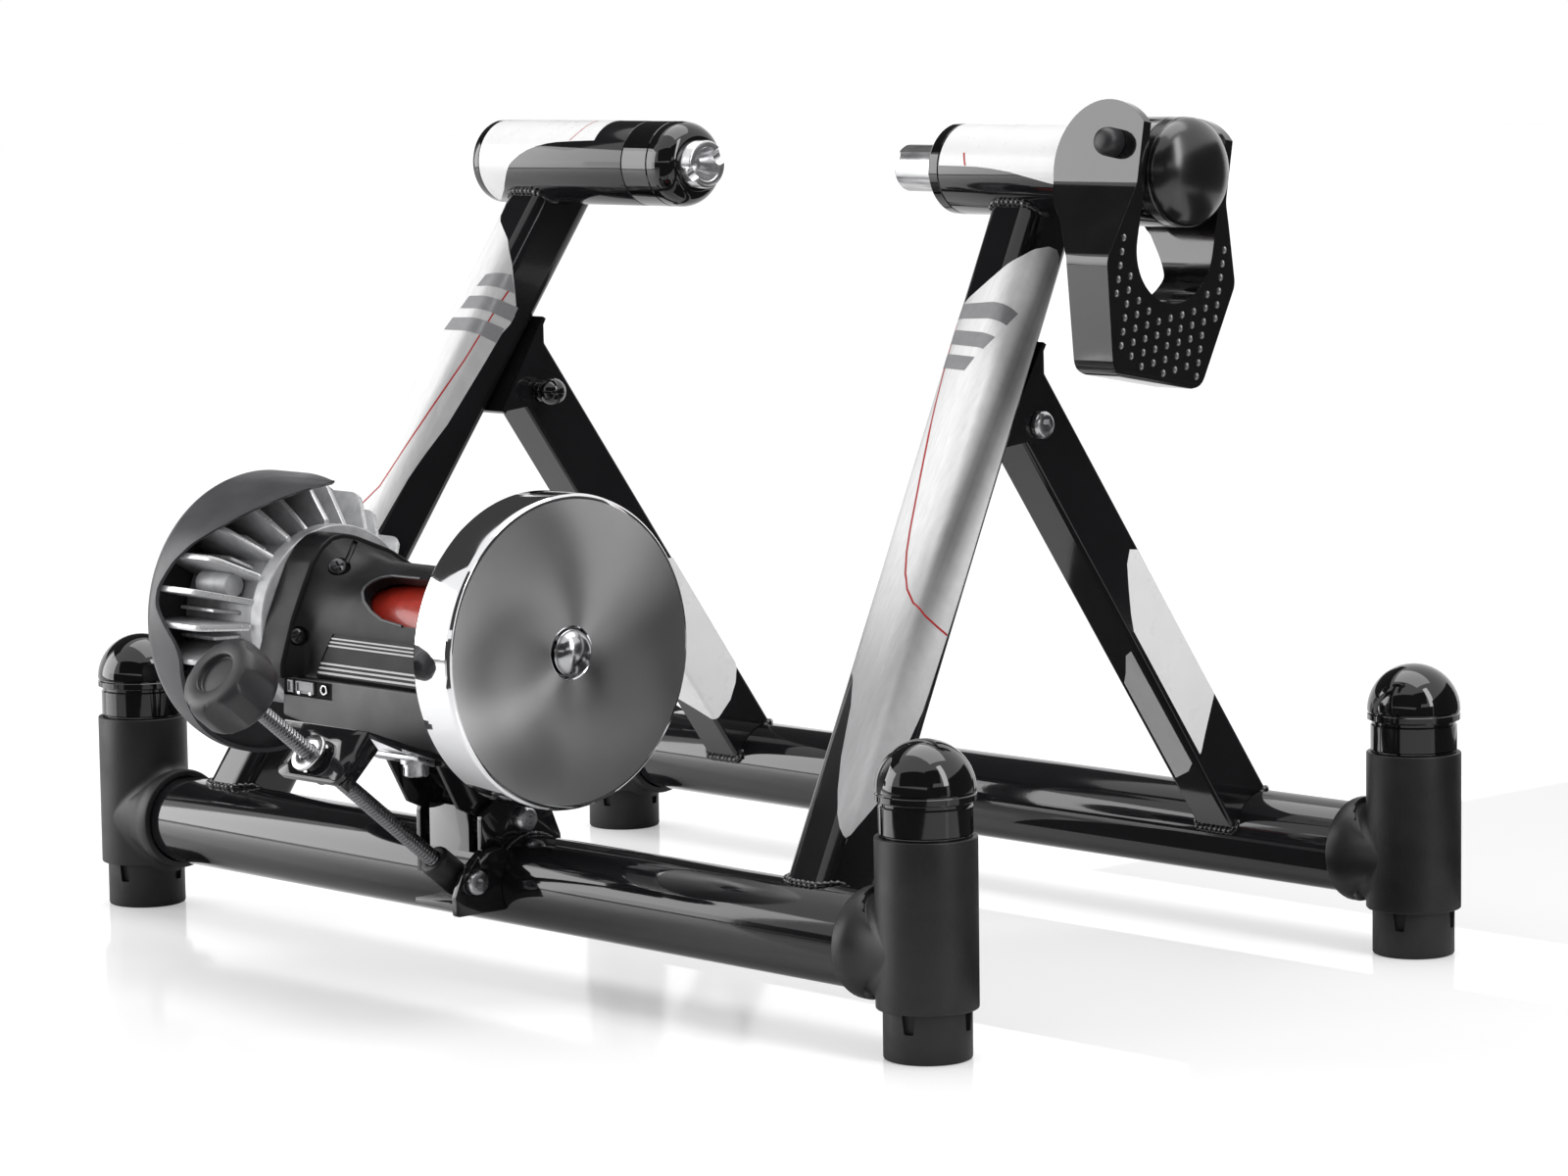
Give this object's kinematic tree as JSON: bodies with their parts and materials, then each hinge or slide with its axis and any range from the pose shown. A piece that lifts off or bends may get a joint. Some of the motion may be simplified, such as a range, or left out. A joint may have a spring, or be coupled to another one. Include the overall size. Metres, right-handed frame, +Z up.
{
  "type": "bike trainer",
  "caption": "Folding indoor stand that clamps a bicycle's rear axle between two cups and presses a swinging roller with a flywheel and a finned brake on its tyre.",
  "frame": {"origin": "middle of the footprint's bounding box, on the floor", "axes": "+X along the floor bars towards the lever side, +Y from the roller unit's bar to the far bar, +Z up"},
  "size_m": [0.6434, 0.5669, 0.4299],
  "materials": {
    "gloss_black": "gloss black powder coat",
    "lever_black": "satin black",
    "tee_black": "fine matte moulded",
    "foot_black": "moulded rubber",
    "cap_black": "gloss moulded",
    "knob_black": "matte grip",
    "block_black": "satin moulded",
    "chrome": "bright plated",
    "steel": "zinc plated",
    "fins_alu": "cast, lightly blasted",
    "housing_grey": "matte charcoal",
    "cover_grey": "satin mid grey",
    "roller_red": "dense elastic gel",
    "rod_steel": "zinc plated thread"
  },
  "bodies": {
    "near_frame": {"near_bar": "gloss_black", "tee_near_left": "tee_black", "tee_near_right": "tee_black", "cap_near_left": "cap_black", "cap_near_right": "cap_black", "foot_near_left": "foot_black", "foot_near_right": "foot_black", "leg_left": "gloss_black", "leg_right": "gloss_black", "clevis_left": "gloss_black", "clevis_right": "gloss_black", "fold_bolt_left": "steel", "fold_bolt_right": "steel", "fold_nut_left": "block_black", "fold_nut_right": "block_black", "hub_barrel_left": "gloss_black", "hub_end_left": "cap_black", "adjuster_ring": "cap_black", "hub_collar_right": "cap_black", "hub_barrel_right": "gloss_black", "cam_housing": "gloss_black", "end_dome": "chrome", "bar_bracket": "gloss_black", "pivot_bolt": "steel", "hook_bracket": "gloss_black", "block_pin": "steel"},
    "far_frame": {"far_bar": "gloss_black", "tee_far_left": "tee_black", "tee_far_right": "tee_black", "cap_far_left": "cap_black", "cap_far_right": "cap_black", "foot_far_left": "foot_black", "foot_far_right": "foot_black", "strut_left": "gloss_black", "strut_right": "gloss_black"},
    "adjuster": {"adjuster_nose": "cap_black"},
    "left_cup": {"cup_left": "chrome"},
    "right_cup": {"cup_right": "chrome"},
    "clamp_lever": {"lever": "lever_black", "lever_pin": "knob_black", "lever_cam": "steel"},
    "roller_unit": {"base_plate": "gloss_black", "heat_sink": "fins_alu", "brake_cover": "cover_grey", "arch_plate": "housing_grey", "hood": "housing_grey", "lower_housing": "housing_grey", "bearing_left": "steel", "bearing_right": "steel"},
    "spinning_roller": {"roller": "roller_red", "shaft": "steel", "brake_rotor": "steel", "flywheel": "chrome", "flywheel_screw": "chrome"},
    "rod_pivot": {"rod_block": "block_black"},
    "threaded_rod": {"rod": "rod_steel", "knob": "knob_black"},
    "travelling_nut": {"rod_nut": "block_black", "rod_washer": "steel"}
  },
  "joints": [
    {"name": "frame_fold", "type": "hinge", "parent": "near_frame", "child": "far_frame", "pos_m": [0, 0.08962, 0.27194], "axis": [1, 0, 0], "range_deg": [-50, 0]},
    {"name": "adjuster_turn", "type": "hinge", "parent": "near_frame", "child": "adjuster", "pos_m": [-0.069, 0.1078, 0.395], "axis": [1, 0, 0], "range_deg": [-720, 720]},
    {"name": "left_cup_slide", "type": "slide", "parent": "near_frame", "child": "left_cup", "axis": [1, 0, 0], "range_m": [-0.005, 0.005]},
    {"name": "lever_turn", "type": "hinge", "parent": "near_frame", "child": "clamp_lever", "pos_m": [0.264, 0.10937, 0.40386], "axis": [0, -0.9848, 0.1736], "range_deg": [0, 100]},
    {"name": "right_cup_slide", "type": "slide", "parent": "near_frame", "child": "right_cup", "axis": [1, 0, 0], "range_m": [0, 0.006]},
    {"name": "rod_spin", "type": "hinge", "parent": "rod_pivot", "child": "threaded_rod", "pos_m": [0.013, -0.1274, 0.054], "axis": [0, -0.776, 0.6307], "range_deg": [0, 3060]},
    {"name": "unit_swing", "type": "hinge", "parent": "near_frame", "child": "roller_unit", "pos_m": [0, -0.0914, 0.0805], "axis": [1, 0, 0], "range_deg": [0, 24]},
    {"name": "rod_tilt", "type": "hinge", "parent": "near_frame", "child": "rod_pivot", "pos_m": [0.013, -0.1274, 0.054], "axis": [1, 0, 0], "range_deg": [0, 28.56]},
    {"name": "nut_slide", "type": "slide", "parent": "rod_pivot", "child": "travelling_nut", "axis": [0, -0.776, 0.6307], "range_m": [-0.017, 0]},
    {"name": "roller_spin", "type": "hinge", "parent": "roller_unit", "child": "spinning_roller", "pos_m": [0, -0.1274, 0.173], "axis": [1, 0, 0], "continuous": true}
  ],
  "couplings": [
    {"joint": "adjuster_turn", "follows": "left_cup_slide", "rad_per_m": 2513.2},
    {"joint": "right_cup_slide", "follows": "lever_turn", "m_per_rad": 0.0034377},
    {"joint": "unit_swing", "follows": "rod_spin", "ratio": 0.0078431},
    {"joint": "rod_tilt", "follows": "rod_spin", "ratio": 0.0093332},
    {"joint": "nut_slide", "follows": "rod_spin", "m_per_rad": -0.00031831}
  ]
}
